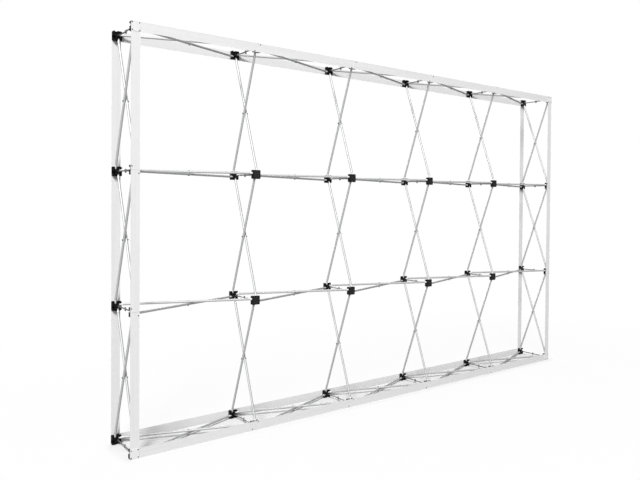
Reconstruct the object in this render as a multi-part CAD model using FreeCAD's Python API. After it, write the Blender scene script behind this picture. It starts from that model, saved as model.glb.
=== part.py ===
import FreeCAD, Part
import math
import os

from FreeCAD import Vector

# Straight banner wall: a pop-up frame of moulded hubs and scissor tubes, held open by a lock
# between each front hub and the rear hub behind it. Hook tape runs round the border of both faces.
# Millimetres. The wall stands on z = 0, centred on x = 0 and y = 0, with its front towards -Y.

# Lattice
BAYS_WIDE = 5
BAYS_HIGH = 3
HUB_PITCH = 735.0           # centre to centre of neighbouring hubs, across and up
FRAME_DEPTH = 272.0         # outer face of a front hub to outer face of the rear hub

# Hub moulding, one piece for both faces, with four slots set like a pinwheel
HUB_SIZE = 52.0
HUB_DEPTH = 20.0
HUB_CORNER = 6.0            # radius of the four corners
HUB_FACE_EDGE = 1.2         # chamfer round the outer face
POST_WALL = 2.5             # wall and floor of the cored pocket in each corner post
BOSS_WIDTH = 14.0           # central clevis that carries a lock arm
PIVOT_RISE = 7.0            # arm pin above the hub's inner face

# Scissor tubes and their end plugs
TUBE_DIAMETER = 13.0
TUBE_WALL = 1.0
TUBE_GAP = 1.0              # spacer washer between two crossing tubes
NOSE_LENGTH = 18.0          # tube pin to the end of the tube
NOSE_FLAT = 0.5             # depth of the flat on each side of a plug's nose
SHANK_LENGTH = 16.0         # plug inside the tube
SHANK_RIB = 3.0             # rib thickness of the cross-shaped shank
SLOT_PLAY = 0.5             # slot wall to tube, each side
NOSE_PLAY = 0.8             # slot root and floor to plug nose

# Tube pins
PIN_REACH = 17.0            # hub centre to tube pin
PIN_DEPTH = 11.5            # hub's outer face to tube pin
PIN_DIAMETER = 4.0
PIN_SEAT = 6.0              # blind end of the pin's hole past the slot
PIN_SINK = 2.0              # outer end of the pin below the hub's side
PIN_FIT = 0.05              # radial play of pins, pegs and rivets in their holes

# Scissor rivets
RIVET_DIAMETER = 4.8
RIVET_HEAD = 10.0
RIVET_HEAD_TOP = 7.0
RIVET_HEAD_HEIGHT = 4.0
WASHER_DIAMETER = 11.0

# Locks: a peg arm on the front hub and a hook arm on the rear hub
ARM_HEIGHT = 7.0
ARM_THICKNESS = 3.0
ARM_GAP = 0.6               # between the two arms, side by side
ARM_PIN_DIAMETER = 4.0
CLEVIS_PLAY = 0.2           # arm to clevis cheek
CLEVIS_FLOOR_PLAY = 0.5     # rounded hook arm end to clevis floor
PEG_DIAMETER = 5.0
PEG_HEAD = 9.0
PEG_HEAD_HEIGHT = 1.4
PEG_PLAY = 0.3              # hook to peg and peg head
PEG_EYE = 12.0              # round end of the peg arm
HOOK_WIDTH = 15.0           # both legs of the hook together
HOOK_RISE = 10.0            # crown of the hook above the peg
HOOK_DROP = 12.0            # legs of the hook below the peg
HOOK_LEAD = 2.0             # sloped corner at the foot of each leg
MOUTH_FLARE = 1.6           # rear leg leans away so that the hook swings clear of the peg

# Hook tape, corner patches, face pads and the rivets that hold the tape
TAPE_WIDTH = 50.0
TAPE_THICKNESS = 1.6
TAPE_SEAM = 0.6             # gap where two lengths of tape meet
TAPE_CORNER = 9.0           # radius of the border's outer corners and of the patches
PATCH_SIZE = 50.0
PATCH_THICKNESS = 1.2
PAD_SIZE = 40.0
PAD_THICKNESS = 1.6
STUD_SPACING = 38.0         # square pattern of the tape rivets on a hub
STUD_DIAMETER = 3.0
STUD_HEAD = 8.0
STUD_HEAD_HEIGHT = 0.8
STUD_SINK = 0.1             # top of the head below the tape or patch that it is pressed into
STUD_DEPTH = 6.0            # rivet hole in the hub

# Worked out from the sizes above
ORIGIN = Vector(0, 0, 0)
X_AXIS = Vector(1, 0, 0)
Y_AXIS = Vector(0, 1, 0)
Z_AXIS = Vector(0, 0, 1)
OVERCUT = 1.0
HUB_HALF = HUB_SIZE / 2
TUBE_RADIUS = TUBE_DIAMETER / 2
TUBE_BORE = TUBE_RADIUS - TUBE_WALL
TUBE_OFFSET = (TUBE_DIAMETER + TUBE_GAP) / 2
SLOT_HALF = TUBE_RADIUS + SLOT_PLAY
SLOT_ROOT = PIN_REACH - TUBE_RADIUS - NOSE_PLAY
SLOT_FLOOR = PIN_DEPTH - TUBE_RADIUS - NOSE_PLAY
PIN_START = TUBE_OFFSET - SLOT_HALF - PIN_SEAT
PIVOT_DEPTH = HUB_DEPTH + PIVOT_RISE
CLEVIS_FLOOR = PIVOT_DEPTH - ARM_HEIGHT / 2 - CLEVIS_FLOOR_PLAY
FACE_Y = FRAME_DEPTH / 2
PIVOT_Y = FACE_Y - PIVOT_DEPTH
PIN_ACROSS = HUB_PITCH - 2 * PIN_REACH
PIN_THROUGH = FRAME_DEPTH - 2 * PIN_DEPTH
PIN_TO_PIN = math.hypot(PIN_ACROSS, PIN_THROUGH)
TUBE_LEAN = math.degrees(math.atan2(PIN_THROUGH, PIN_ACROSS))
TUBE_LENGTH = PIN_TO_PIN - 2 * NOSE_LENGTH
SCISSOR_HALF = TUBE_OFFSET + TUBE_RADIUS
ARM_NEAR = ARM_GAP / 2
ARM_FAR = ARM_NEAR + ARM_THICKNESS


def column_x(column):
    return (column - BAYS_WIDE / 2) * HUB_PITCH


def row_z(row):
    return HUB_HALF + row * HUB_PITCH


COLUMNS = range(BAYS_WIDE + 1)
ROWS = range(BAYS_HIGH + 1)


def box(x0, x1, y0, y1, z0, z1):
    return Part.makeBox(x1 - x0, y1 - y0, z1 - z0, Vector(x0, y0, z0))


def rod(radius, start, end):
    return Part.makeCylinder(radius, (end - start).Length, start, end - start)


def outline(edges, thrust):
    """A solid from a closed outline of curves, pushed along one vector."""
    wire = Part.Wire([edge.toShape() for edge in edges])
    return Part.Face(wire).extrude(thrust)


def polygon(points, thrust):
    return Part.Face(Part.makePolygon(points + points[:1])).extrude(thrust)


def round_through(block, radius):
    """Rounds the four edges of a block that run through its depth."""
    edges = [edge for edge in block.Edges if abs(edge.tangentAt(edge.FirstParameter).y) > 0.5]
    return block.makeFillet(radius, edges)


def on_hub(shape, column, row, rear):
    """A piece drawn on a hub's own axes, put on one hub of the front or rear face."""
    if rear:
        shape = shape.rotated(ORIGIN, Z_AXIS, 180)
    return shape.translated(Vector(column_x(column), FACE_Y if rear else -FACE_Y, row_z(row)))


def quarter(shape, slot):
    """A piece drawn for the upper slot, turned to slot 0 up, 1 right, 2 down or 3 left."""
    return shape.rotated(ORIGIN, Y_AXIS, 90 * slot)


def slots_in_use(column, row, rear):
    """The slots of a hub that hold a tube. A rear hub faces the other way, so its sides swap."""
    right = column > 0 if rear else column < BAYS_WIDE
    left = column < BAYS_WIDE if rear else column > 0
    used = (row < BAYS_HIGH, right, row > 0, left)
    return [slot for slot in range(4) if used[slot]]


def stud_corners(column, row):
    """The corners of a hub's face where rivets hold the tape."""
    on_side = column in (COLUMNS[0], COLUMNS[-1])
    on_end = row in (ROWS[0], ROWS[-1])
    rising = [(1, 1), (-1, -1)]
    falling = [(-1, 1), (1, -1)]
    return (rising if on_end else []) + (falling if on_side else [])


def stud_place(corner):
    return Vector(corner[0] * STUD_SPACING / 2, 0, corner[1] * STUD_SPACING / 2)


def stud_stack(column, row):
    """Thickness that the rivets of one hub hold: the tape, and a patch over it where four rivets are."""
    patched = len(stud_corners(column, row)) == 4
    return TAPE_THICKNESS + PATCH_THICKNESS if patched else TAPE_THICKNESS


def stud_holes(column, row):
    """Stepped holes for the rivets of one hub: a seat for the head, then the shank's hole into the hub."""
    stack = stud_stack(column, row)
    front = Vector(0, -stack - OVERCUT, 0)
    seat = Vector(0, STUD_SINK + STUD_HEAD_HEIGHT - stack, 0)
    shank = rod(STUD_DIAMETER / 2 + PIN_FIT, front, Vector(0, STUD_DEPTH, 0))
    hole = shank.fuse(rod(STUD_HEAD / 2 + PIN_FIT, front, seat)).removeSplitter()
    return [hole.translated(stud_place(corner)) for corner in stud_corners(column, row)]


def drilled(shape, holes):
    return shape.cut(holes) if holes else shape


# Hub moulding

def hub_block():
    block = box(-HUB_HALF, HUB_HALF, 0, HUB_DEPTH, -HUB_HALF, HUB_HALF)
    block = round_through(block, HUB_CORNER)
    rim = [edge for edge in block.Edges if edge.BoundBox.YMax < HUB_FACE_EDGE]
    return block.makeChamfer(HUB_FACE_EDGE, rim)


def hub_boss():
    """The central boss, round-topped about the arm pin."""
    half = BOSS_WIDTH / 2
    foot_low = Vector(-half, SLOT_FLOOR, -half)
    foot_high = Vector(-half, SLOT_FLOOR, half)
    ear_low = Vector(-half, PIVOT_DEPTH, -half)
    ear_high = Vector(-half, PIVOT_DEPTH, half)
    crown = Vector(-half, PIVOT_DEPTH + half, 0)
    edges = [
        Part.LineSegment(foot_low, ear_low),
        Part.Arc(ear_low, crown, ear_high),
        Part.LineSegment(ear_high, foot_high),
        Part.LineSegment(foot_high, foot_low),
    ]
    return outline(edges, Vector(BOSS_WIDTH, 0, 0))


def hub_cuts():
    """Tube slots, cored pockets and pin holes in fours, then the clevis slot and its pin hole."""
    slot_near = TUBE_OFFSET - SLOT_HALF
    slot_far = TUBE_OFFSET + SLOT_HALF
    pocket_floor = PIN_DEPTH + PIN_DIAMETER / 2 + POST_WALL
    deep = HUB_DEPTH + OVERCUT
    out = HUB_HALF + OVERCUT
    rim = HUB_HALF - POST_WALL
    slot = box(slot_near, slot_far, SLOT_FLOOR, deep, SLOT_ROOT, out)
    pocket = box(slot_far + POST_WALL, rim, pocket_floor, deep, POST_WALL - slot_near, rim)
    pin_hole = rod(PIN_DIAMETER / 2 + PIN_FIT, tube_pin_point(PIN_START), tube_pin_point(out))
    cuts = [quarter(piece, turn) for turn in range(4) for piece in (slot, pocket, pin_hole)]
    half = BOSS_WIDTH / 2 + OVERCUT
    crown = PIVOT_DEPTH + half
    cuts.append(box(-ARM_FAR - CLEVIS_PLAY, CLEVIS_PLAY - ARM_NEAR, CLEVIS_FLOOR, crown, -half, half))
    arm_pin_end = Vector(half, PIVOT_DEPTH, 0)
    cuts.append(rod(ARM_PIN_DIAMETER / 2 + PIN_FIT, Vector(-half, PIVOT_DEPTH, 0), arm_pin_end))
    return cuts


def hub_moulding():
    return hub_block().fuse(hub_boss()).removeSplitter().cut(hub_cuts())


def tube_pin_point(x):
    """A point on the pin across the upper slot."""
    return Vector(x, PIN_DEPTH, PIN_REACH)


def tube_pin():
    return rod(PIN_DIAMETER / 2, tube_pin_point(PIN_START), tube_pin_point(HUB_HALF - PIN_SINK))


def arm_pin():
    end = Vector(BOSS_WIDTH / 2, PIVOT_DEPTH, 0)
    return rod(ARM_PIN_DIAMETER / 2, Vector(-BOSS_WIDTH / 2, PIVOT_DEPTH, 0), end)


# Scissors

def tube():
    """One tube along X, with the rivet's hole through its middle."""
    end = Vector(TUBE_LENGTH / 2, 0, 0)
    over = Vector(OVERCUT, 0, 0)
    pipe = rod(TUBE_RADIUS, -end, end).cut(rod(TUBE_BORE, -end - over, end + over))
    out = Vector(0, 0, TUBE_DIAMETER)
    return pipe.cut(rod(RIVET_DIAMETER / 2 + PIN_FIT, -out, out))


def end_plug():
    """One plug for the far end of a tube along X: a rounded nose about the pin and a ribbed shank."""
    pin = Vector(PIN_TO_PIN / 2, 0, 0)
    tube_end = TUBE_LENGTH / 2
    thick = TUBE_DIAMETER - 2 * NOSE_FLAT
    low = Vector(0, 0, -thick / 2)
    across = Vector(0, TUBE_RADIUS, 0)
    shoulder = Vector(tube_end, 0, 0)
    edges = [
        Part.LineSegment(shoulder - across + low, pin - across + low),
        Part.Arc(pin - across + low, pin + Vector(TUBE_RADIUS, 0, 0) + low, pin + across + low),
        Part.LineSegment(pin + across + low, shoulder + across + low),
        Part.LineSegment(shoulder + across + low, shoulder - across + low),
    ]
    eye = outline(edges, Vector(0, 0, thick))
    nose = eye.common(rod(TUBE_RADIUS, shoulder, pin + Vector(TUBE_DIAMETER, 0, 0)))
    rib = math.sqrt((TUBE_BORE - PIN_FIT) ** 2 - (SHANK_RIB / 2) ** 2)
    half = SHANK_RIB / 2
    inner = tube_end - SHANK_LENGTH
    flat_rib = box(inner, tube_end, -rib, rib, -half, half)
    upright_rib = box(inner, tube_end, -half, half, -rib, rib)
    plug = nose.fuse([flat_rib, upright_rib]).removeSplitter()
    return plug.cut(rod(PIN_DIAMETER / 2 + PIN_FIT, pin - 2 * low, pin + 2 * low))


def scissor_rivet():
    """A rivet along Z through two tubes side by side, with a head at each end."""
    top = Vector(0, 0, SCISSOR_HALF)
    shank = rod(RIVET_DIAMETER / 2, -top, top)
    sizes = (RIVET_HEAD / 2, RIVET_HEAD_TOP / 2, RIVET_HEAD_HEIGHT)
    heads = [Part.makeCone(*sizes, top, Z_AXIS), Part.makeCone(*sizes, -top, -Z_AXIS)]
    return shank.fuse(heads).removeSplitter()


def spacer_washer():
    half = Vector(0, 0, TUBE_GAP / 2)
    disc = rod(WASHER_DIAMETER / 2, -half, half)
    return disc.cut(rod(RIVET_DIAMETER / 2 + PIN_FIT, -2 * half, 2 * half))


def row_scissor(shape, lean, column, row, side):
    """A piece drawn along X, put in the scissor to the right of one column."""
    middle = Vector((column_x(column) + column_x(column + 1)) / 2, 0, row_z(row) + side * TUBE_OFFSET)
    return shape.rotated(ORIGIN, Z_AXIS, lean).translated(middle)


def column_scissor(shape, lean, column, row, side):
    """A piece drawn along X, stood up and put in the scissor above one row."""
    middle = Vector(column_x(column) + side * TUBE_OFFSET, 0, (row_z(row) + row_z(row + 1)) / 2)
    upright = shape.rotated(ORIGIN, Y_AXIS, -90)
    return upright.rotated(ORIGIN, X_AXIS, lean).translated(middle)


def row_pair(shape, column, row):
    """Both tubes of a scissor in a row: front left to rear right below, the other above."""
    below = row_scissor(shape, TUBE_LEAN, column, row, -1)
    return [below, row_scissor(shape, -TUBE_LEAN, column, row, 1)]


def column_pair(shape, column, row):
    """Both tubes of a scissor in a column: front low to rear high on the right, the other left."""
    right = column_scissor(shape, -TUBE_LEAN, column, row, 1)
    return [right, column_scissor(shape, TUBE_LEAN, column, row, -1)]


def in_rows(put):
    return [put(column, row) for row in ROWS for column in COLUMNS[:-1]]


def in_columns(put):
    return [put(column, row) for column in COLUMNS for row in ROWS[:-1]]


def at_crossings(shape):
    """One copy of a piece drawn on a crossing, for every scissor."""
    across = in_rows(lambda column, row: row_scissor(shape, 0, column, row, 0))
    return across + in_columns(lambda column, row: column_scissor(shape, 0, column, row, 0))


# Locks, drawn in the plane of one hub pair with the peg at the origin

def peg_arm():
    """A flat bar from the front hub's clevis floor to a round eye about the peg."""
    half = ARM_HEIGHT / 2
    bar = box(-ARM_FAR, -ARM_NEAR, CLEVIS_FLOOR - FACE_Y, 0, -half, half)
    eye = rod(PEG_EYE / 2, Vector(-ARM_FAR, 0, 0), Vector(-ARM_NEAR, 0, 0))
    arm = bar.fuse(eye).removeSplitter()
    return arm.cut([cross_hole(ARM_PIN_DIAMETER, -PIVOT_Y), cross_hole(PEG_DIAMETER, 0)])


def cross_hole(diameter, y):
    """A hole across both arms."""
    end = Vector(2 * ARM_FAR, y, 0)
    return rod(diameter / 2 + PIN_FIT, Vector(-2 * ARM_FAR, y, 0), end)


def lock_peg():
    """A peg through the peg arm, with a flange behind the arm and a head outside the hook."""
    inner = Vector(-ARM_FAR, 0, 0)
    outer = Vector(ARM_FAR + PEG_PLAY, 0, 0)
    head = Vector(PEG_HEAD_HEIGHT, 0, 0)
    ends = [rod(PEG_HEAD / 2, inner - head, inner), rod(PEG_HEAD / 2, outer, outer + head)]
    return rod(PEG_DIAMETER / 2, inner, outer).fuse(ends).removeSplitter()


def on_hook(y, z):
    """A point on the inner side of the hook arm, seen from the peg."""
    return Vector(ARM_NEAR, y, z)


def path(points):
    return [Part.LineSegment(a, b) for a, b in zip(points, points[1:])]


def hook_bar():
    """The bar of the hook arm, round about its pin on the rear hub."""
    half = ARM_HEIGHT / 2
    lower = [on_hook(0, half), on_hook(0, -half), on_hook(PIVOT_Y, -half)]
    root = Part.Arc(lower[-1], on_hook(PIVOT_Y + half, 0), on_hook(PIVOT_Y, half))
    top = Part.LineSegment(on_hook(PIVOT_Y, half), lower[0])
    return outline(path(lower) + [root, top], Vector(ARM_THICKNESS, 0, 0))


def hook_head():
    """The head of the hook: round over the peg, with two legs that reach down past it."""
    side = HOOK_WIDTH / 2
    shoulder = HOOK_RISE - side
    lower = [
        on_hook(-side, shoulder),
        on_hook(-side, HOOK_LEAD - HOOK_DROP),
        on_hook(HOOK_LEAD - side, -HOOK_DROP),
        on_hook(side - HOOK_LEAD, -HOOK_DROP),
        on_hook(side, HOOK_LEAD - HOOK_DROP),
        on_hook(side, shoulder),
    ]
    crown = Part.Arc(lower[-1], on_hook(0, HOOK_RISE), lower[0])
    return outline(path(lower) + [crown], Vector(ARM_THICKNESS, 0, 0))


def hook_notch():
    """The gap between the legs, round over the peg and wider at its mouth."""
    gap = PEG_DIAMETER / 2 + PEG_PLAY
    mouth = -HOOK_DROP - OVERCUT
    sides = [on_hook(gap, 0), on_hook(gap + MOUTH_FLARE, mouth), on_hook(-gap, mouth), on_hook(-gap, 0)]
    crown = Part.Arc(sides[-1], on_hook(0, gap), sides[0])
    return outline(path(sides) + [crown], Vector(ARM_THICKNESS, 0, 0))


def hook_arm():
    """A bar from the rear clevis to a hook that drops over the peg."""
    arm = hook_bar().fuse(hook_head()).removeSplitter()
    return arm.cut([hook_notch(), cross_hole(ARM_PIN_DIAMETER, PIVOT_Y)])


def between_hubs(shape, column, row):
    return shape.translated(Vector(column_x(column), 0, row_z(row)))


# Tape border, drawn on the front face's own axes with the hub faces at y = 0

def border_point(side, along, out):
    """A point of the border, by its place along one side and its distance out from the hubs' line."""
    if side == "left":
        return Vector(column_x(COLUMNS[0]) - out, 0, along)
    if side == "right":
        return Vector(column_x(COLUMNS[-1]) + out, 0, along)
    if side == "top":
        return Vector(along, 0, row_z(ROWS[-1]) + out)
    return Vector(along, 0, row_z(ROWS[0]) - out)


def side_hubs(side):
    """The hubs along one side, from left to right or from the bottom up."""
    if side in ("left", "right"):
        return [(COLUMNS[0] if side == "left" else COLUMNS[-1], row) for row in ROWS]
    return [(column, ROWS[0] if side == "bottom" else ROWS[-1]) for column in COLUMNS]


def border_field():
    """All that lies inside the tape's outer edge, with its four corners rounded."""
    half = TAPE_WIDTH / 2
    field = box(column_x(COLUMNS[0]) - half, column_x(COLUMNS[-1]) + half, -TAPE_THICKNESS, 0,
                row_z(ROWS[0]) - half, row_z(ROWS[-1]) + half)
    return round_through(field, TAPE_CORNER)


def tape_side(side):
    """One length of tape from hub to hub, cut to a mitre where it meets the next side."""
    upright = side in ("left", "right")
    hubs = side_hubs(side)
    half = TAPE_WIDTH / 2
    seam = TAPE_SEAM / 2
    lengths = []
    for start, end in zip(hubs, hubs[1:]):
        low = (row_z(start[1]) if upright else column_x(start[0])) + seam
        high = (row_z(end[1]) if upright else column_x(end[0])) - seam
        low_mitre = half if start == hubs[0] else 0
        high_mitre = half if end == hubs[-1] else 0
        points = [
            border_point(side, low - low_mitre, half),
            border_point(side, high + high_mitre, half),
            border_point(side, high - high_mitre, -half),
            border_point(side, low + low_mitre, -half),
        ]
        holes = [hole for hub in (start, end) for hole in holes_on_face(hub)]
        strip = polygon(points, Vector(0, -TAPE_THICKNESS, 0))
        if low_mitre or high_mitre:
            strip = strip.common(border_field()).Solids[0]
        lengths.append(drilled(strip, holes))
    return lengths


def holes_on_face(hub):
    place = Vector(column_x(hub[0]), 0, row_z(hub[1]))
    return [hole.translated(place) for hole in stud_holes(*hub)]


def square_on_hub(size, near, thickness):
    """A flat square on a hub's face, from its distance in front of the face outwards."""
    half = size / 2
    return box(-half, half, -near - thickness, -near, -half, half)


def tape_stud(stack):
    """A rivet through a stack of tape into the hub, with a flat round head pressed into the tape."""
    top = Vector(0, STUD_SINK - stack, 0)
    seat = top + Vector(0, STUD_HEAD_HEIGHT, 0)
    shank = rod(STUD_DIAMETER / 2, top, Vector(0, STUD_DEPTH, 0))
    return shank.fuse(rod(STUD_HEAD / 2, top, seat)).removeSplitter()


def hub_studs(column, row):
    stud = tape_stud(stud_stack(column, row))
    return [stud.translated(stud_place(corner)) for corner in stud_corners(column, row)]


def on_face(shape, rear):
    """A piece drawn on the front face, put on the front or turned to the rear."""
    if rear:
        shape = shape.rotated(ORIGIN, Z_AXIS, 180)
    return shape.translated(Vector(0, FACE_Y if rear else -FACE_Y, 0))


# Assembly

def save(name, solids):
    shape = solids[0] if len(solids) == 1 else Part.makeCompound(solids)
    shape.exportStep(os.path.join("parts", name + ".step"))


def every_hub(rows=ROWS):
    return [(column, row) for row in rows for column in COLUMNS]


def save_hubs():
    moulding = hub_moulding()
    for face, rear in (("front", False), ("rear", True)):
        for row in ROWS:
            hubs = [on_hub(drilled(moulding, stud_holes(*hub)), *hub, rear) for hub in every_hub([row])]
            save(f"{face}_hubs_row_{row + 1}", hubs)


def save_pins():
    pin = tube_pin()
    tube_pins = []
    arm_pins = []
    for rear in (False, True):
        for hub in every_hub():
            tube_pins += [on_hub(quarter(pin, slot), *hub, rear) for slot in slots_in_use(*hub, rear)]
            arm_pins.append(on_hub(arm_pin(), *hub, rear))
    save("tube_pins", tube_pins)
    save("arm_pins", arm_pins)


def save_scissors():
    pipe = tube()
    for row in ROWS:
        save(f"row_tubes_{row + 1}", sum((row_pair(pipe, column, row) for column in COLUMNS[:-1]), []))
    for column in COLUMNS:
        save(f"column_tubes_{column + 1}", sum((column_pair(pipe, column, row) for row in ROWS[:-1]), []))
    far_plug = end_plug()
    plugs = []
    for plug in (far_plug, far_plug.rotated(ORIGIN, Z_AXIS, 180)):
        plugs += sum(in_rows(lambda column, row: row_pair(plug, column, row)), [])
        plugs += sum(in_columns(lambda column, row: column_pair(plug, column, row)), [])
    save("tube_end_plugs", plugs)
    save("scissor_rivets", at_crossings(scissor_rivet()))
    save("scissor_washers", at_crossings(spacer_washer()))


def save_locks():
    save("peg_arms", [between_hubs(peg_arm(), *hub) for hub in every_hub()])
    save("lock_pegs", [between_hubs(lock_peg(), *hub) for hub in every_hub()])
    hook = hook_arm()
    for column, row in every_hub():
        save(f"hook_arm_row_{row + 1}_column_{column + 1}", [between_hubs(hook, column, row)])


def save_border():
    """Left and right are as seen when facing that side of the wall."""
    for side in ("left", "right", "top", "bottom"):
        lengths = tape_side(side)
        save(f"front_tape_{side}", [on_face(length, False) for length in lengths])
        save(f"rear_tape_{side}", [on_face(length, True) for length in lengths])
    patch = round_through(square_on_hub(PATCH_SIZE, TAPE_THICKNESS, PATCH_THICKNESS), TAPE_CORNER)
    pad = square_on_hub(PAD_SIZE, 0, PAD_THICKNESS)
    patches = []
    pads = []
    studs = []
    for rear in (False, True):
        for hub in every_hub():
            holes = stud_holes(*hub)
            studs += [on_hub(stud, *hub, rear) for stud in hub_studs(*hub)]
            if len(holes) == 4:
                patches.append(on_hub(drilled(patch, holes), *hub, rear))
            if not holes:
                pads.append(on_hub(pad, *hub, rear))
    save("corner_patches", patches)
    save("face_pads", pads)
    save("tape_rivets", studs)


os.makedirs("parts", exist_ok=True)
save_hubs()
save_pins()
save_scissors()
save_locks()
save_border()
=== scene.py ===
import math

import bmesh
import bpy
from bpy.props import FloatProperty, FloatVectorProperty, IntProperty, PointerProperty
from mathutils import Matrix, Vector


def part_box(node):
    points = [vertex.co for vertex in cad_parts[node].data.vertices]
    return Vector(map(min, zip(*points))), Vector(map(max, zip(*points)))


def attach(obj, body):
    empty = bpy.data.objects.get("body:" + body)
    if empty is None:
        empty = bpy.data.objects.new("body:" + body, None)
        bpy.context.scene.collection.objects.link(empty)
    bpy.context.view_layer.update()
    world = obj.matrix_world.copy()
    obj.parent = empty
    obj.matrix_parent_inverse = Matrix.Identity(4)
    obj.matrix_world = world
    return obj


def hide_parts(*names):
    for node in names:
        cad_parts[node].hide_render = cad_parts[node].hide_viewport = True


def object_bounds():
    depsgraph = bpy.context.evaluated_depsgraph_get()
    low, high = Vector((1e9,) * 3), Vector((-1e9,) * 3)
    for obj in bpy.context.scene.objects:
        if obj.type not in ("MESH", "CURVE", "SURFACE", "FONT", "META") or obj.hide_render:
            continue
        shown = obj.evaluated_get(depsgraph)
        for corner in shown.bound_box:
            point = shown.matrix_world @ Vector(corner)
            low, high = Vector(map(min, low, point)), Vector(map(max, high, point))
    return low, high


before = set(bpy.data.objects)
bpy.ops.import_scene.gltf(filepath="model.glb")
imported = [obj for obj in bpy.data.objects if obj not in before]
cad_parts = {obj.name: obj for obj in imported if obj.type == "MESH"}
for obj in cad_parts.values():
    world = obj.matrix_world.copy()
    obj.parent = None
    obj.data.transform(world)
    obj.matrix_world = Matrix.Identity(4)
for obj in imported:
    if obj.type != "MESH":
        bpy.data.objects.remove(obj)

bl_info = {
    "name": "Straight Banner Wall",
    "version": (1, 0, 0),
    "blender": (4, 5, 0),
    "location": "3D View > Sidebar > Banner Wall",
    "description": "Dresses a pop-up banner wall frame with tape, pads, rivets and finishes",
    "category": "Object",
}

# Places read from the frame, in metres. The front face looks along -Y.
CAD_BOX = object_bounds()
FACES = ("front", "rear")
SIDES = ("left", "right", "top", "bottom")
BODY = "frame"
COLUMNS = range(sum(name.startswith("column_tubes_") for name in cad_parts))
ROWS = range(sum(name.startswith("row_tubes_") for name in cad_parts))
HUB_LOW, HUB_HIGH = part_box("front_hubs_row_1")
HUB_SIZE = HUB_HIGH.z - HUB_LOW.z
HUB_PITCH = (HUB_HIGH.x - HUB_LOW.x - HUB_SIZE) / COLUMNS[-1]
FACE_Y = -HUB_LOW.y
TAPE_LOW, TAPE_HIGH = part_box("front_tape_left")
TAPE_WIDTH = TAPE_HIGH.x - TAPE_LOW.x
TAPE_THICKNESS = TAPE_HIGH.y - TAPE_LOW.y
PATCH_LOW, PATCH_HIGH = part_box("corner_patches")
PATCH_SIZE = PATCH_HIGH.x - PATCH_LOW.x - HUB_PITCH * COLUMNS[-1]
PATCH_THICKNESS = PATCH_HIGH.y - FACE_Y - TAPE_THICKNESS
PAD_LOW, PAD_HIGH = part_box("face_pads")
PAD_SIZE = PAD_HIGH.x - PAD_LOW.x - HUB_PITCH * (COLUMNS[-1] - 2)
PAD_THICKNESS = PAD_HIGH.y - FACE_Y
RIVET_LOW, RIVET_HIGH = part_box("tape_rivets")
RIVET_REACH = RIVET_HIGH.x - RIVET_LOW.x - HUB_PITCH * COLUMNS[-1]


def column_x(column):
    return (column - COLUMNS[-1] / 2) * HUB_PITCH


def row_z(row):
    return HUB_SIZE / 2 + row * HUB_PITCH


def turned_to(face):
    """The half turn that carries what is drawn on the front face to the rear face."""
    return Matrix.Rotation(math.pi if face == "rear" else 0, 4, "Z")


# Settings that a user would change

def colour(name, description, value):
    return FloatVectorProperty(
        name=name, description=description, default=value, size=3, subtype="COLOR", min=0, max=1
    )


def length(name, description, value):
    return FloatProperty(
        name=name, description=description, default=value, min=0, unit="LENGTH", precision=4
    )


def position(name, description, value):
    return FloatVectorProperty(
        name=name, description=description, default=value, size=3, subtype="TRANSLATION", unit="LENGTH"
    )


def angle(name, description, degrees):
    return FloatProperty(
        name=name, description=description, default=math.radians(degrees), subtype="ANGLE"
    )


def lamp_power(name, description, value):
    return FloatProperty(name=name, description=description, default=value, unit="POWER")


def share(name, description, value):
    return FloatProperty(name=name, description=description, default=value)


class BannerWallSizes(bpy.types.PropertyGroup):
    """Small forms of the tape, patches, pads and rivets."""

    selvedge: length("Selvedge", "Plain edge on both sides of the tape", 0.003)
    pile_sink: length("Pile sink", "Depth of the hooked field below the selvedge", 0.0004)
    tape_seam: length("Tape seam", "Gap where two lengths of tape meet", 0.0006)
    tape_edge: length("Tape edge", "Rounding along the edges of the tape", 0.0003)
    tape_bow: length("Tape bow", "How far a length of tape bows out between two hubs", 0.0006)
    tape_cuts: IntProperty(name="Tape cuts", description="Divisions along one length", default=9, min=1)
    border_corner: length("Border corner", "Radius of the border's corners and of the patches", 0.009)
    pad_corner: length("Pad corner", "Radius of the corners of a pad", 0.003)
    patch_edge: length("Patch edge", "Rounding round the rim of a patch or pad", 0.0004)
    rivet_spacing: length("Rivet spacing", "Square pattern of the tape rivets on a hub", 0.038)
    rivet_rise: length("Rivet rise", "Height of a rivet's head above the hooked field", 0.0004)
    rivet_dimple: length("Rivet dimple", "Radius of the hollow in the middle of a rivet", 0.0011)
    rivet_steps: IntProperty(name="Rivet steps", description="Sides of a rivet head", default=16, min=8)


class BannerWallColours(bpy.types.PropertyGroup):
    """Base colours of the finishes."""

    hub: colour("Hub", "Black moulded nylon", (0.006, 0.006, 0.0065))
    tube: colour("Tube", "Satin anodised aluminium", (0.49, 0.493, 0.496))
    plug: colour("Plug", "White moulded nylon", (0.72, 0.72, 0.71))
    crossing: colour("Crossing rivet", "Rivets where two tubes cross", (0.2, 0.2, 0.205))
    pin: colour("Pin", "Zinc-plated steel", (0.58, 0.58, 0.59))
    arm: colour("Arm", "Dark grey steel strip", (0.21, 0.21, 0.215))
    tape: colour("Tape", "Hooked side of the white tape", (0.845, 0.845, 0.845))
    # The back is a little darker than the hooked side, partly a painted shade on the sides of the tape that
    # face the hubs
    tape_back: colour("Tape back", "Woven back of the white tape", (0.803, 0.80, 0.80))
    patch: colour("Patch", "White doubled tape on the corners", (0.87, 0.87, 0.87))
    pad: colour("Pad", "Dark grey hook pad", (0.022, 0.022, 0.023))
    rivet: colour("Rivet", "Grey rivet heads in the tape", (0.2, 0.2, 0.205))


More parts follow.
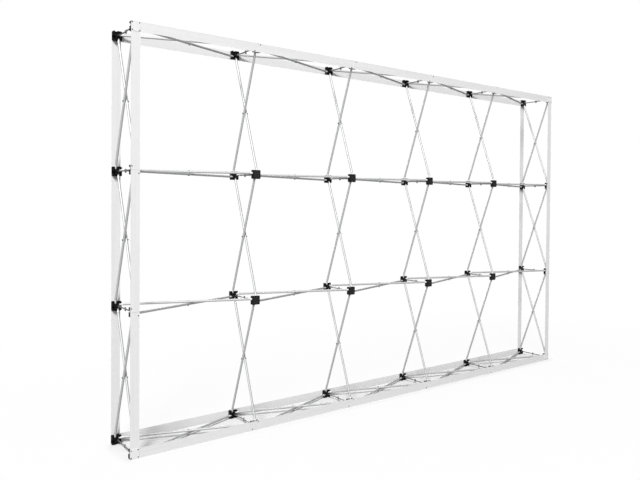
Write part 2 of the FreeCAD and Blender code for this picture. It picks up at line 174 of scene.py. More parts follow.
class BannerWallStage(bpy.types.PropertyGroup):
    """Camera, lights, dark cards and floor."""

    lens: FloatProperty(name="Lens", description="Focal length", default=36.84, unit="CAMERA")
    camera_place: position("Camera place", "Where the camera stands", (-3.146, -3.384, 1.330))
    camera_heading: angle("Heading", "Turn of the view to the right of +Y", 37.70)
    camera_tilt: angle("Tilt", "Tilt of the view above level", -0.92)
    camera_roll: angle("Roll", "Roll of the view, right side up", 0.43)
    camera_shift: share("Shift", "Vertical shift of the frame, as a share of its width", -0.0408)
    sky: share("Sky", "Strength of the soft light from all round", 0.38)
    key: lamp_power("Key", "Power of the key light", 10600.0)
    key_size: length("Key size", "Side of the key light", 9.0)
    key_place: position("Key place", "Where the key light stands", (-16.5, -14.1, 19.5))
    fill: lamp_power("Fill", "Power of the low light behind", 1300.0)
    fill_size: length("Fill size", "Side of the low light behind", 6.0)
    fill_place: position("Fill place", "Where the low light stands behind the wall", (7.0, 12.0, 2.6))
    card_size: length("Card size", "Side of the dark cards out of view", 11.0)
    card_tone: share("Card tone", "Paleness of the dark cards", 0.03)
    card_right: position("Right card", "Middle of the dark card on the right", (6.7, -2.1, 4.0))
    card_left: position("Left card", "Middle of the dark card behind on the left", (-3.7, 5.9, 4.0))
    floor_size: length("Floor size", "Side of the floor", 120.0)
    # Floor tone sets the greyer floor under the frame, a painted shade there
    floor_tone: share("Floor tone", "Paleness of the floor as it is seen under the frame", 0.7)
    floor_bounce: share("Floor bounce", "Share of light that the floor throws back on the frame", 0.15)
    floor_edge: length("Floor edge", "Width of the change to white round the frame's footprint", 0.06)
    floor_clear: length("Floor clear", "Reach of the shadows on the floor round the frame", 2.8)
    floor_shadow: share("Floor shadow", "Share of the floor's own tone that stays round the frame", 0.13)


class BannerWallSettings(bpy.types.PropertyGroup):
    """All settings of the banner wall."""

    sizes: PointerProperty(type=BannerWallSizes)
    colours: PointerProperty(type=BannerWallColours)
    stage: PointerProperty(type=BannerWallStage)


# Shader node groups shared by the finishes

STREAK_SHARE = 0.75  # Part of the tape's uneven shade that is streaks. The rest is patches.


class Tree:
    """Short words for building a node tree."""

    def __init__(self, tree):
        self.nodes = tree.nodes
        self.links = tree.links

    def add(self, kind, inputs=None, **settings):
        node = self.nodes.new(kind)
        for name, value in settings.items():
            setattr(node, name, value)
        for name, value in (inputs or {}).items():
            self.put(node.inputs[name], value)
        return node

    def put(self, socket, value):
        if isinstance(value, bpy.types.NodeSocket):
            self.links.new(value, socket)
        else:
            socket.default_value = value

    def math(self, operation, a, b=0.0, c=0.0):
        node = self.add("ShaderNodeMath", {0: a, 1: b, 2: c}, operation=operation)
        return node.outputs[0]

    def blend(self, share_of_a, a, b):
        """A value that is a by a share, and b by the rest."""
        return self.math("MULTIPLY_ADD", a, share_of_a, self.math("MULTIPLY", b, 1.0 - share_of_a))

    def remap(self, value, low, high):
        """A value from 0 to 1, spread from low to high."""
        node = self.add("ShaderNodeMapRange", {"Value": value, "To Min": low, "To Max": high})
        return node.outputs["Result"]

    def mix(self, factor, a, b):
        """A mixed colour. The colours of this node are inputs 6 and 7, and output 2."""
        node = self.add("ShaderNodeMix", {"Factor": factor, 6: a, 7: b}, data_type="RGBA")
        return node.outputs[2]


def shader_group(name, inputs, outputs):
    """A new shader node group: the group, its tree, what it is given and the sockets of its result."""
    group = bpy.data.node_groups.new(name, "ShaderNodeTree")
    for label, kind, value in inputs:
        socket = group.interface.new_socket(label, in_out="INPUT", socket_type=kind)
        if value is not None:
            socket.default_value = value
    for label in outputs:
        group.interface.new_socket(label, in_out="OUTPUT", socket_type="NodeSocketFloat")
    tree = Tree(group)
    return group, tree, tree.add("NodeGroupInput").outputs, tree.add("NodeGroupOutput").inputs


def grain_group():
    """Fine moulded grain, with broad handling marks that vary slowly over the surface."""
    group, tree, given, result = shader_group(
        "moulded_grain",
        [("Vector", "NodeSocketVector", None), ("Grains", "NodeSocketFloat", 900.0),
         ("Marks", "NodeSocketFloat", 22.0)],
        ("Height", "Handling"),
    )
    fine = tree.add("ShaderNodeTexNoise", {
        "Vector": given["Vector"], "Scale": given["Grains"], "Detail": 3.0, "Roughness": 0.6})
    broad = tree.add("ShaderNodeTexNoise", {
        "Vector": given["Vector"], "Scale": given["Marks"], "Detail": 5.0, "Roughness": 0.65})
    tree.put(result["Height"], fine.outputs["Fac"])
    tree.put(result["Handling"], broad.outputs["Fac"])
    return group


def draw_lines_group():
    """Lines along a drawn tube. They follow its normal, which turns only round the tube."""
    group, tree, given, result = shader_group(
        "draw_lines",
        [("Normal", "NodeSocketVector", None), ("Vector", "NodeSocketVector", None),
         ("Lines", "NodeSocketFloat", 26.0)],
        ("Streak", "Blotch"),
    )
    streak = tree.add("ShaderNodeTexNoise", {
        "Vector": given["Normal"], "Scale": given["Lines"], "Detail": 2.0, "Roughness": 0.7})
    blotch = tree.add("ShaderNodeTexNoise", {
        "Vector": given["Vector"], "Scale": 14.0, "Detail": 4.0, "Roughness": 0.6})
    tree.put(result["Streak"], streak.outputs["Fac"])
    tree.put(result["Blotch"], blotch.outputs["Fac"])
    return group


def weave_group():
    """Plain weave on a map in metres: threads that pass over and under each other."""
    group, tree, given, result = shader_group(
        "plain_weave",
        [("Vector", "NodeSocketVector", None), ("Threads", "NodeSocketFloat", 900.0)],
        ("Height", "Gap"),
    )
    axes = tree.add("ShaderNodeSeparateXYZ", {"Vector": given["Vector"]})
    turn = tree.math("MULTIPLY", given["Threads"], math.tau)
    across = tree.math("SINE", tree.math("MULTIPLY", axes.outputs["X"], turn))
    along = tree.math("SINE", tree.math("MULTIPLY", axes.outputs["Y"], turn))
    crossing = tree.math("MULTIPLY", across, along)
    tree.put(result["Height"], tree.math("MULTIPLY_ADD", crossing, 0.5, 0.5))
    # Gap marks where the threads pass each other; the finishes darken it as a painted shade between the
    # threads
    tree.put(result["Gap"], tree.math("SUBTRACT", 1.0, tree.math("ABSOLUTE", crossing)))
    return group


def pile_group():
    """The hooks of hook tape: small tufts set in uneven rows, with streaks that run along the tape."""
    group, tree, given, result = shader_group(
        "hook_pile",
        [("Vector", "NodeSocketVector", None), ("Hooks", "NodeSocketFloat", 640.0),
         ("Streaks", "NodeSocketFloat", 140.0)],
        ("Height", "Shade"),
    )
    tuft = tree.add("ShaderNodeTexVoronoi", {
        "Vector": given["Vector"], "Scale": given["Hooks"], "Randomness": 0.55})
    height = tree.add("ShaderNodeMapRange", {
        "Value": tuft.outputs["Distance"], "From Min": 0.15, "From Max": 0.6,
        "To Min": 1.0, "To Max": 0.0})
    patchy = tree.add("ShaderNodeTexNoise", {"Vector": given["Vector"], "Scale": 35.0, "Detail": 3.0})
    drawn_out = tree.add("ShaderNodeMapping", {"Vector": given["Vector"], "Scale": (1.0, 0.01, 1.0)})
    streak = tree.add("ShaderNodeTexNoise", {
        "Vector": drawn_out.outputs["Vector"], "Scale": given["Streaks"],
        "Detail": 4.0, "Roughness": 0.6})
    tree.put(result["Height"], height.outputs["Result"])
    tree.put(result["Shade"], tree.blend(STREAK_SHARE, streak.outputs["Fac"], patchy.outputs["Fac"]))
    return group


GROUP_MAKERS = {
    "moulded_grain": grain_group,
    "draw_lines": draw_lines_group,
    "plain_weave": weave_group,
    "hook_pile": pile_group,
}


def placed_group(tree, name, inputs):
    """A shared group in a material, built the first time that it is asked for."""
    group = bpy.data.node_groups.get(name) or GROUP_MAKERS[name]()
    return tree.add("ShaderNodeGroup", inputs, node_tree=group).outputs


# Finishes

DRAWN_SHARE = 0.4  # Part of a tube's uneven roughness that is drawn lines. The rest is blotches.
WEAVE_RELIEF = 0.4  # Height of the plain weave, where the hooks have a height of 1


def empty_material(name):
    """A material with a Principled BSDF joined to its output: the material, its tree and the shader."""
    material = bpy.data.materials.new(name)
    material.use_nodes = True
    tree = Tree(material.node_tree)
    tree.nodes.clear()
    shader = tree.add("ShaderNodeBsdfPrincipled")
    output = tree.add("ShaderNodeOutputMaterial")
    tree.put(output.inputs["Surface"], shader.outputs["BSDF"])
    return material, tree, shader.inputs


def shades(base, low, high):
    """A darker and a lighter colour about a base."""
    dark = tuple(channel * low for channel in base) + (1.0,)
    light = tuple(min(1.0, channel * high) for channel in base) + (1.0,)
    return dark, light


def bump(tree, height, strength, distance):
    node = tree.add("ShaderNodeBump", {"Height": height, "Strength": strength, "Distance": distance})
    return node.outputs["Normal"]


def moulded(name, base, roughness, gloss=0.5):
    """Moulded nylon with a fine grain and faint handling marks."""
    material, tree, shader = empty_material(name)
    shader["Specular IOR Level"].default_value = gloss
    place = tree.add("ShaderNodeTexCoord").outputs["Object"]
    grain = placed_group(tree, "moulded_grain", {"Vector": place})
    dark, light = shades(base, low=0.8, high=1.2)
    tree.put(shader["Base Color"], tree.mix(grain["Handling"], dark, light))
    tree.put(shader["Roughness"], tree.remap(grain["Handling"], low=roughness - 0.1, high=roughness + 0.1))
    tree.put(shader["Normal"], bump(tree, grain["Height"], strength=0.25, distance=0.0002))
    return material


def drawn_metal(name, base, roughness, metallic):
    """Drawn and anodised metal with fine lines along its length."""
    material, tree, shader = empty_material(name)
    coordinates = tree.add("ShaderNodeTexCoord").outputs
    drawn = placed_group(tree, "draw_lines", {
        "Normal": coordinates["Normal"], "Vector": coordinates["Object"]})
    dark, light = shades(base, low=0.95, high=1.04)
    tree.put(shader["Base Color"], tree.mix(drawn["Streak"], dark, light))
    shader["Metallic"].default_value = metallic
    worn = tree.blend(DRAWN_SHARE, drawn["Streak"], drawn["Blotch"])
    tree.put(shader["Roughness"], tree.remap(worn, low=roughness - 0.1, high=roughness + 0.1))
    tree.put(shader["Normal"], bump(tree, drawn["Streak"], strength=0.03, distance=0.0001))
    return material


def plated_steel(name, base, roughness, metallic=1.0):
    """Stamped or headed steel with a fine uneven plating."""
    material, tree, shader = empty_material(name)
    place = tree.add("ShaderNodeTexCoord").outputs["Object"]
    grain = placed_group(tree, "moulded_grain", {"Vector": place, "Grains": 500.0, "Marks": 60.0})
    dark, light = shades(base, low=0.82, high=1.18)
    tree.put(shader["Base Color"], tree.mix(grain["Handling"], dark, light))
    shader["Metallic"].default_value = metallic
    tree.put(shader["Roughness"], tree.remap(grain["Handling"], low=roughness - 0.1, high=roughness + 0.15))
    tree.put(shader["Normal"], bump(tree, grain["Height"], strength=0.12, distance=0.0001))
    return material


def woven(name, base, pile, gloss=0.5):
    """Woven tape, with hooks standing up from a flatter weave by the share that pile gives."""
    material, tree, shader = empty_material(name)
    shader["Specular IOR Level"].default_value = gloss
    place = tree.add("ShaderNodeUVMap", uv_map="tape").outputs["UV"]
    weave = placed_group(tree, "plain_weave", {"Vector": place})
    hooks = placed_group(tree, "hook_pile", {"Vector": place})
    height = tree.blend(pile, hooks["Height"], tree.math("MULTIPLY", weave["Height"], WEAVE_RELIEF))
    dark, light = shades(base, low=0.86, high=1.10)
    # Painted shade between the threads: the colour goes up to 6% of the way to 60% of the base in the
    # weave's gaps
    between, _ = shades(base, low=0.6, high=1.0)
    uneven = tree.mix(hooks["Shade"], dark, light)
    gap = tree.remap(weave["Gap"], low=0.0, high=0.06)
    tree.put(shader["Base Color"], tree.mix(gap, uneven, between))
    tree.put(shader["Roughness"], tree.remap(hooks["Shade"], low=0.72, high=0.92))
    tree.put(shader["Normal"], bump(tree, height, strength=0.35, distance=0.0003))
    return material


def finish_nodes(material, names):
    """Gives CAD nodes a finish."""
    for name in names:
        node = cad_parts[name]
        node.data.materials.clear()
        node.data.materials.append(material)


def named(*starts):
    """The CAD nodes whose names begin in any of these ways."""
    return sorted(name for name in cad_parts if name.startswith(starts))


# Meshes

TAPE_SELVEDGE, TAPE_FIELD, TAPE_BACK = range(3)  # The order of a tape's materials
FACING_HUBS = 0.9  # A normal that is more than this along +Y looks at the hubs
TIP_CUTS = 3  # Cuts that round one half of a border corner
WELD = 1e-6  # Points nearer than this become one


def finished_piece(name, bm, materials, replaced):
    """A piece of the frame from a bmesh, in place of the CAD node that it stands for."""
    bmesh.ops.recalc_face_normals(bm, faces=bm.faces)
    mesh = bpy.data.meshes.new(name)
    bm.to_mesh(mesh)
    bm.free()
    for material in materials:
        mesh.materials.append(material)
    piece = bpy.data.objects.new(name, mesh)
    bpy.context.scene.collection.objects.link(piece)
    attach(piece, BODY)
    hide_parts(replaced)
    return piece


def map_flat(bm, axis):
    """A UV map in metres on the XZ plane, with its second axis along the tape."""
    layer = bm.loops.layers.uv.new("tape")
    for face in bm.faces:
        for loop in face.loops:
            place = loop.vert.co
            loop[layer].uv = (place.z, place.x) if axis == "X" else (place.x, place.z)


def thickened(bm, face, thickness):
    """Pushes a flat face out towards the front and returns the new outer face."""
    grown = bmesh.ops.extrude_face_region(bm, geom=[face])["geom"]
    moved = [part for part in grown if isinstance(part, bmesh.types.BMVert)]
    bmesh.ops.translate(bm, verts=moved, vec=(0, -thickness, 0))
    return next(part for part in grown if isinstance(part, bmesh.types.BMFace))


def round_edges(bm, edges, radius):
    bmesh.ops.bevel(
        bm, geom=edges, offset=radius, offset_type="OFFSET", segments=2, profile=0.5,
        affect="EDGES", material=-1, clamp_overlap=True,
    )


def back_faces(bm):
    """Gives the back's material to the faces that look at the hubs."""
    bmesh.ops.recalc_face_normals(bm, faces=bm.faces)
    for face in bm.faces:
        if face.normal.y > FACING_HUBS:
            face.material_index = TAPE_BACK


# Tape round the border

def border_point(side, along, out):
    """A point on the front hubs' faces, by its place along a side and its distance out from the hubs."""
    if side in ("left", "right"):
        edge = column_x(COLUMNS[0]) - out if side == "left" else column_x(COLUMNS[-1]) + out
        return Vector((edge, -FACE_Y, along))
    edge = row_z(ROWS[0]) - out if side == "bottom" else row_z(ROWS[-1]) + out
    return Vector((along, -FACE_Y, edge))


def side_stations(side):
    """Where the hubs stand along one side."""
    return [row_z(row) for row in ROWS] if side in ("left", "right") else [column_x(c) for c in COLUMNS]


def round_tip(bm, side, tip, radius):
    """Cuts the outer tip of a mitred length to the round corner of the border."""
    upright = side in ("left", "right")
    inward = Vector((-math.copysign(1, tip.x), 0, 1 if tip.z < row_z(ROWS[-1]) / 2 else -1))
    centre = tip + inward * radius
    for cut in range(TIP_CUTS):
        turn = math.pi / 4 * (cut + 0.5) / TIP_CUTS
        near, far = math.cos(turn), math.sin(turn)
        across, up = (near, far) if upright else (far, near)
        normal = Vector((-inward.x * across, 0, -inward.z * up))
        kept = bmesh.ops.bisect_plane(
            bm, geom=bm.verts[:] + bm.edges[:] + bm.faces[:], plane_co=centre + normal * radius,
            plane_no=normal, clear_outer=True,
        )
        rim = [part for part in kept["geom_cut"] if isinstance(part, bmesh.types.BMEdge)]
        bmesh.ops.holes_fill(bm, edges=rim, sides=0)


def tape_mesh(side, start, end, mitres, sizes):
    """One length of tape from hub to hub: selvedges, a sunk field of hooks, and a slight bow."""
    half = TAPE_WIDTH / 2
    low, high = start + sizes.tape_seam / 2, end - sizes.tape_seam / 2
    low_mitre, high_mitre = mitres[0] * half, mitres[1] * half
    corners = [
        border_point(side, low - low_mitre, half),
        border_point(side, high + high_mitre, half),
        border_point(side, high - high_mitre, -half),
        border_point(side, low + low_mitre, -half),
    ]
    bm = bmesh.new()
    strip = bm.faces.new([bm.verts.new(corner) for corner in corners])
    outer = thickened(bm, strip, TAPE_THICKNESS)
    bmesh.ops.recalc_face_normals(bm, faces=bm.faces)
    rim = list(outer.edges)
    bmesh.ops.inset_region(bm, faces=[outer], thickness=sizes.selvedge, depth=-sizes.pile_sink)
    outer.material_index = TAPE_FIELD
    round_edges(bm, rim, sizes.tape_edge)
    axis = "Z" if side in ("left", "right") else "X"
    runs = [edge for edge in bm.edges if edge.calc_length() > (high - low) / 2]
    bmesh.ops.subdivide_edges(bm, edges=runs, cuts=sizes.tape_cuts, use_grid_fill=True)
    for vert in bm.verts:
        along = vert.co.z if axis == "Z" else vert.co.x
        part_way = min(1.0, max(0.0, (along - low) / (high - low)))
        vert.co.y -= sizes.tape_bow * math.sin(math.pi * part_way) ** 2
    for mitred, along in zip(mitres, (start - half, end + half)):
        if mitred:
            round_tip(bm, side, border_point(side, along, half), sizes.border_corner)
    back_faces(bm)
    map_flat(bm, axis)
    return bm


class BANNERWALL_OT_tapes(bpy.types.Operator):
    """Lay lengths of hook tape from hub to hub round both faces"""

    bl_idname = "bannerwall.tapes"
    bl_label = "Tapes"

    def execute(self, context):
        settings = context.scene.banner_wall
        selvedge = woven("tape_selvedge", settings.colours.tape, pile=0.0)
        hooked = woven("tape_white", settings.colours.tape, pile=0.6)
        back = woven("tape_back", settings.colours.tape_back, pile=0.0)
        layers = (selvedge, hooked, back)
        for face in FACES:
            for side in SIDES:
                node = f"{face}_tape_{side}"
                stations = side_stations(side)
                for number, (start, end) in enumerate(zip(stations, stations[1:]), 1):
                    mitres = (start == stations[0], end == stations[-1])
                    bm = tape_mesh(side, start, end, mitres, settings.sizes)
                    bmesh.ops.transform(bm, matrix=turned_to(face), verts=bm.verts)
                    name = f"{node}_length_{number}"
                    piece = finished_piece(name, bm, layers, node)
        return {"FINISHED"}


# Corner patches and face pads

def square_mesh(size, corner, near, thickness, sizes):
    """A rounded square of tape on the plane of the front face, at the origin of the width and height."""
    bm = bmesh.new()
    bmesh.ops.create_grid(
        bm, x_segments=1, y_segments=1, size=size / 2, matrix=Matrix.Rotation(math.pi / 2, 4, "X")
    )
    bmesh.ops.translate(bm, verts=bm.verts, vec=(0, -FACE_Y - near, 0))
    bmesh.ops.bevel(
        bm, geom=bm.verts[:], offset=corner, offset_type="OFFSET", segments=6, profile=0.5,
        affect="VERTICES", material=-1,
    )
    outer = thickened(bm, bm.faces[:][0], thickness)
    bmesh.ops.recalc_face_normals(bm, faces=bm.faces)
    rim = list(outer.edges)
    bmesh.ops.inset_region(bm, faces=[outer], thickness=sizes.selvedge / 2, depth=-sizes.pile_sink)
    round_edges(bm, rim, sizes.patch_edge)
    return bm


def lay_square(name, column, row, face, bm, material, node):
    """Puts a square on one hub of the front or rear face."""
    bmesh.ops.translate(bm, verts=bm.verts, vec=(column_x(column), 0, row_z(row)))
    map_flat(bm, "Z")
    bmesh.ops.transform(bm, matrix=turned_to(face), verts=bm.verts)
    return finished_piece(name, bm, (material,), node)


class BANNERWALL_OT_corner_patches(bpy.types.Operator):
    """Cover the meeting ends of the tape with a square patch on each corner hub"""

    bl_idname = "bannerwall.corner_patches"
    bl_label = "Corner Patches"

    def execute(self, context):
        settings = context.scene.banner_wall
        sizes = settings.sizes
        material = woven("patch_white", settings.colours.patch, pile=0.35)
        for face in FACES:
            for row, height in ((ROWS[0], "bottom"), (ROWS[-1], "top")):
                for column, hand in ((COLUMNS[0], "left"), (COLUMNS[-1], "right")):
                    corner = sizes.border_corner
                    bm = square_mesh(PATCH_SIZE, corner, TAPE_THICKNESS, PATCH_THICKNESS, sizes)
                    name = f"corner_patch_{face}_{height}_{hand}"
                    piece = lay_square(
                        name, column, row, face, bm, material, "corner_patches")
        return {"FINISHED"}


class BANNERWALL_OT_face_pads(bpy.types.Operator):
    """Stick a dark hook pad on each hub inside the border"""

    bl_idname = "bannerwall.face_pads"
    bl_label = "Face Pads"

    def execute(self, context):
        settings = context.scene.banner_wall
        sizes = settings.sizes
        material = woven("pad_dark", settings.colours.pad, pile=0.8, gloss=0.12)
        for face in FACES:
            for row in ROWS[1:-1]:
                for column in COLUMNS[1:-1]:
                    bm = square_mesh(PAD_SIZE, sizes.pad_corner, 0, PAD_THICKNESS, sizes)
                    name = f"face_pad_{face}_row_{row + 1}_column_{column + 1}"
                    piece = lay_square(name, column, row, face, bm, material, "face_pads")
        return {"FINISHED"}


# Rivets through the tape

def rivet_corners(column, row):
    """The corners of a hub's face that hold rivets: four at a corner of the wall, two along its border."""
    rising = [(1, 1), (-1, -1)] if row in (ROWS[0], ROWS[-1]) else []
    falling = [(-1, 1), (1, -1)] if column in (COLUMNS[0], COLUMNS[-1]) else []
    return rising + falling


def rivet_head(bm, seat, sizes):
    """A low domed head with a hollow in its middle, turned about the rivet's axis."""
    radius = (RIVET_REACH - sizes.rivet_spacing) / 2
    top = sizes.rivet_rise
    # Distances from the axis and heights, from the rim to the middle
    profile = [
        (radius, -top), (radius, top * 0.2), (radius * 0.8, top * 0.75),
        (sizes.rivet_dimple * 1.6, top), (sizes.rivet_dimple, top * 0.6), (0, top * 0.5),
    ]
    verts = [bm.verts.new(seat + Vector((out, -rise, 0))) for out, rise in profile]
    edges = [bm.edges.new(pair) for pair in zip(verts, verts[1:])]
    bmesh.ops.spin(
        bm, geom=verts + edges, cent=seat, axis=(0, 1, 0), angle=math.tau, steps=sizes.rivet_steps,
        use_merge=True,
    )


class BANNERWALL_OT_tape_rivets(bpy.types.Operator):
    """Set domed rivets through the tape on every border hub"""

    bl_idname = "bannerwall.tape_rivets"
    bl_label = "Tape Rivets"

    def execute(self, context):
        settings = context.scene.banner_wall
        sizes = settings.sizes
        half = sizes.rivet_spacing / 2
        material = plated_steel("rivet_grey", settings.colours.rivet, roughness=0.4)
        whole = bmesh.new()
        for face in FACES:
            part = bmesh.new()
            for row in ROWS:
                for column in COLUMNS:
                    corners = rivet_corners(column, row)
                    stack = TAPE_THICKNESS + (PATCH_THICKNESS if len(corners) == 4 else 0)
                    centre = Vector((column_x(column), sizes.pile_sink - FACE_Y - stack, row_z(row)))
                    for across, up in corners:
                        rivet_head(part, centre + Vector((across, 0, up)) * half, sizes)
            bmesh.ops.remove_doubles(part, verts=part.verts, dist=WELD)
            bmesh.ops.transform(part, matrix=turned_to(face), verts=part.verts)
            mesh = bpy.data.meshes.new("tape_rivets_half")
            part.to_mesh(mesh)
            part.free()
            whole.from_mesh(mesh)
            bpy.data.meshes.remove(mesh)
        piece = finished_piece("tape_rivet_heads", whole, (material,), "tape_rivets")
        piece.data.shade_smooth()
        return {"FINISHED"}


# Finishes of the CAD pieces

class BANNERWALL_OT_hubs(bpy.types.Operator):
    """Finish the moulded hubs in black nylon"""

    bl_idname = "bannerwall.hubs"
    bl_label = "Hubs"

    def execute(self, context):
        colours = context.scene.banner_wall.colours
        hubs = moulded("hub_black", colours.hub, roughness=0.5, gloss=0.12)
        finish_nodes(hubs, named("front_hubs", "rear_hubs"))
        return {"FINISHED"}


class BANNERWALL_OT_scissors(bpy.types.Operator):
    """Finish the tubes, end plugs, rivets and washers of the scissors"""

    bl_idname = "bannerwall.scissors"
    bl_label = "Scissors"

    def execute(self, context):
        colours = context.scene.banner_wall.colours
        tubes = drawn_metal("tube_aluminium", colours.tube, roughness=0.55, metallic=0.55)
        finish_nodes(tubes, named("row_tubes", "column_tubes"))
        plugs = moulded("plug_nylon", colours.plug, roughness=0.5)
        finish_nodes(plugs, ["tube_end_plugs", "scissor_washers"])
        rivets = plated_steel("rivet_aluminium", colours.crossing, roughness=0.35)
        finish_nodes(rivets, ["scissor_rivets"])
        return {"FINISHED"}


class BANNERWALL_OT_locks(bpy.types.Operator):
    """Finish the lock arms, pegs and pins"""

    bl_idname = "bannerwall.locks"
    bl_label = "Locks"

    def execute(self, context):
        colours = context.scene.banner_wall.colours
        arms = plated_steel("arm_steel", colours.arm, roughness=0.42, metallic=0.6)
        finish_nodes(arms, named("hook_arm", "peg_arms"))
        pins = plated_steel("pin_steel", colours.pin, roughness=0.35)
        finish_nodes(pins, ["lock_pegs", "tube_pins", "arm_pins"])
        return {"FINISHED"}


# Stage

def grey(tone):
    return (tone, tone, tone, 1.0)


WHITE = grey(1.0)


def background_seen(tree):
    """1 for rays that should see the plain white background, else 0."""
    rays = tree.add("ShaderNodeLightPath").outputs
    seen = tree.math("ADD", rays["Is Camera Ray"], rays["Is Glossy Ray"])
    seen = tree.math("ADD", seen, rays["Is Transmission Ray"])
    seen.node.use_clamp = True
    return seen


def mixed_shader(tree, factor, a, b):
    return tree.add("ShaderNodeMixShader", {0: factor, 1: a.outputs[0], 2: b.outputs[0]})


def white_world(sky):
    world = bpy.data.worlds.new("studio")
    world.use_nodes = True
    tree = Tree(world.node_tree)
    tree.nodes.clear()
    light = tree.add("ShaderNodeBackground", {"Color": WHITE, "Strength": sky})
    white = tree.add("ShaderNodeBackground", {"Color": WHITE, "Strength": 1.0})
    choice = mixed_shader(tree, background_seen(tree), light, white)
    tree.put(tree.add("ShaderNodeOutputWorld").inputs["Surface"], choice.outputs[0])
    bpy.context.scene.world = world


def floor_material(stage):
    """A floor that is greyer under the frame than round it, a painted shade under the frame on top of the
    real shadows it takes, and that glows an even white round it with a faint share of its shadow.
    """
    material = bpy.data.materials.new("floor_white")
    material.use_nodes = True
    tree = Tree(material.node_tree)
    tree.nodes.clear()
    dim = tree.add("ShaderNodeBsdfDiffuse", {"Color": grey(stage.floor_bounce)})
    pale = tree.add("ShaderNodeBsdfDiffuse", {"Color": grey(stage.floor_tone)})
    glow = tree.add("ShaderNodeEmission", {"Color": WHITE, "Strength": 1.0})
    place = tree.add("ShaderNodeTexCoord").outputs["Object"]
    footprint = (CAD_BOX[1].x, CAD_BOX[1].y, 0.0)
    folded = tree.add("ShaderNodeVectorMath", {0: place}, operation="ABSOLUTE").outputs[0]
    past = tree.add("ShaderNodeVectorMath", {0: folded, 1: footprint}, operation="SUBTRACT").outputs[0]
    outside = tree.add("ShaderNodeVectorMath", {0: past, 1: (0, 0, 0)}, operation="MAXIMUM").outputs[0]
    gap = tree.add("ShaderNodeVectorMath", {0: outside}, operation="LENGTH").outputs["Value"]
    near = tree.add("ShaderNodeMapRange", {
        "Value": gap, "From Max": stage.floor_edge, "To Min": 1.0, "To Max": stage.floor_shadow})
    far = tree.add("ShaderNodeMapRange", {
        "Value": gap, "From Max": stage.floor_clear, "To Min": 1.0, "To Max": 0.0},
        interpolation_type="SMOOTHSTEP")
    # Kept is 1 under the frame, where only the pale floor shows as a painted shade, and falls to the floor
    # shadow share round it and to 0 farther out
    kept = tree.math("MULTIPLY", near.outputs["Result"], far.outputs["Result"])
    seen = mixed_shader(tree, kept, glow, pale)
    choice = mixed_shader(tree, background_seen(tree), dim, seen)
    tree.put(tree.add("ShaderNodeOutputMaterial").inputs["Surface"], choice.outputs[0])
    return material


def stage_plane(name, size, place, material):
    """A flat square of the stage, which isn't part of the wall."""
    bm = bmesh.new()
    bmesh.ops.create_grid(bm, x_segments=1, y_segments=1, size=size / 2, matrix=place)
    mesh = bpy.data.meshes.new(name)
    bm.to_mesh(mesh)
    bm.free()
    mesh.materials.append(material)
    plane = bpy.data.objects.new(name, mesh)
    bpy.context.scene.collection.objects.link(plane)
    return plane


def aimed(place):
    """The way from a place to the middle of the wall."""
    return Vector((0, 0, row_z(ROWS[-1]) / 2)) - Vector(place)


def dark_card(name, stage, place):
    """A dark card out of view, which shows only in gloss."""
    material, _, shader = empty_material(name)
    shader["Base Color"].default_value = grey(stage.card_tone)
    shader["Roughness"].default_value = 1.0
    turn = aimed(place).to_track_quat("Z", "Y").to_matrix().to_4x4()
    card = stage_plane(name, stage.card_size, Matrix.Translation(place) @ turn, material)
    card.visible_camera = False
    card.visible_diffuse = False
    card.visible_shadow = False


def soft_light(name, power, size, place):
    """A square light, aimed at the middle of the wall."""
    lamp = bpy.data.lights.new(name, "AREA")
    lamp.energy = power
    lamp.size = size
    light = bpy.data.objects.new(name, lamp)
    light.location = place
    light.rotation_euler = aimed(place).to_track_quat("-Z", "Y").to_euler()
    bpy.context.scene.collection.objects.link(light)


def photo_camera(stage):
    lens = bpy.data.cameras.new("camera")
    lens.lens = stage.lens
    lens.shift_y = stage.camera_shift
    camera = bpy.data.objects.new("camera", lens)
    heading = Matrix.Rotation(-stage.camera_heading, 4, "Z")
    tilt = Matrix.Rotation(math.pi / 2 + stage.camera_tilt, 4, "X")
    roll = Matrix.Rotation(stage.camera_roll, 4, "Z")
    camera.matrix_world = Matrix.Translation(stage.camera_place) @ heading @ tilt @ roll
    bpy.context.scene.collection.objects.link(camera)
    bpy.context.scene.camera = camera


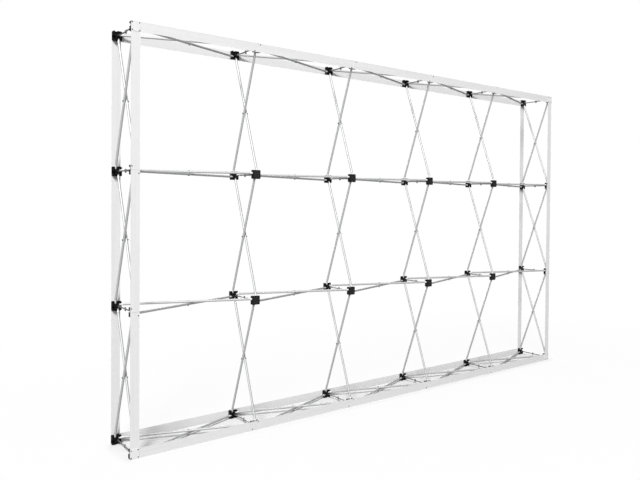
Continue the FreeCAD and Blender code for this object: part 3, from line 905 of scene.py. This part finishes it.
class BANNERWALL_OT_stage(bpy.types.Operator):
    """Set up the white surroundings, the floor, the dark cards, the lights and the camera"""

    bl_idname = "bannerwall.stage"
    bl_label = "Stage"

    def execute(self, context):
        stage = context.scene.banner_wall.stage
        context.scene.view_settings.view_transform = "Standard"
        white_world(stage.sky)
        stage_plane("floor", stage.floor_size, Matrix.Identity(4), floor_material(stage))
        dark_card("card_right", stage, stage.card_right)
        dark_card("card_left", stage, stage.card_left)
        soft_light("key", stage.key, stage.key_size, stage.key_place)
        soft_light("fill", stage.fill, stage.fill_size, stage.fill_place)
        photo_camera(stage)
        return {"FINISHED"}


class BANNERWALL_PT_panel(bpy.types.Panel):
    """Steps of the banner wall, in the sidebar of the 3D view"""

    bl_idname = "BANNERWALL_PT_panel"
    bl_label = "Banner Wall"
    bl_space_type = "VIEW_3D"
    bl_region_type = "UI"
    bl_category = "Banner Wall"

    def draw(self, context):
        for operator in OPERATORS:
            self.layout.operator(operator.bl_idname)
        settings = context.scene.banner_wall
        for group in (settings.sizes, settings.colours, settings.stage):
            column = self.layout.column(align=True)
            for name in group.__annotations__:
                column.prop(group, name)


OPERATORS = (
    BANNERWALL_OT_hubs,
    BANNERWALL_OT_scissors,
    BANNERWALL_OT_locks,
    BANNERWALL_OT_tapes,
    BANNERWALL_OT_corner_patches,
    BANNERWALL_OT_face_pads,
    BANNERWALL_OT_tape_rivets,
    BANNERWALL_OT_stage,
)
GROUPS = (BannerWallSizes, BannerWallColours, BannerWallStage, BannerWallSettings)
CLASSES = GROUPS + OPERATORS + (BANNERWALL_PT_panel,)


def register():
    for entry in CLASSES:
        bpy.utils.register_class(entry)
    bpy.types.Scene.banner_wall = PointerProperty(type=BannerWallSettings)


def unregister():
    del bpy.types.Scene.banner_wall
    for entry in reversed(CLASSES):
        bpy.utils.unregister_class(entry)


def main():
    register()
    bpy.ops.bannerwall.hubs()
    bpy.ops.bannerwall.scissors()
    bpy.ops.bannerwall.locks()
    bpy.ops.bannerwall.tapes()
    bpy.ops.bannerwall.corner_patches()
    bpy.ops.bannerwall.face_pads()
    bpy.ops.bannerwall.tape_rivets()
    bpy.ops.bannerwall.stage()


if __name__ == "__main__":
    main()
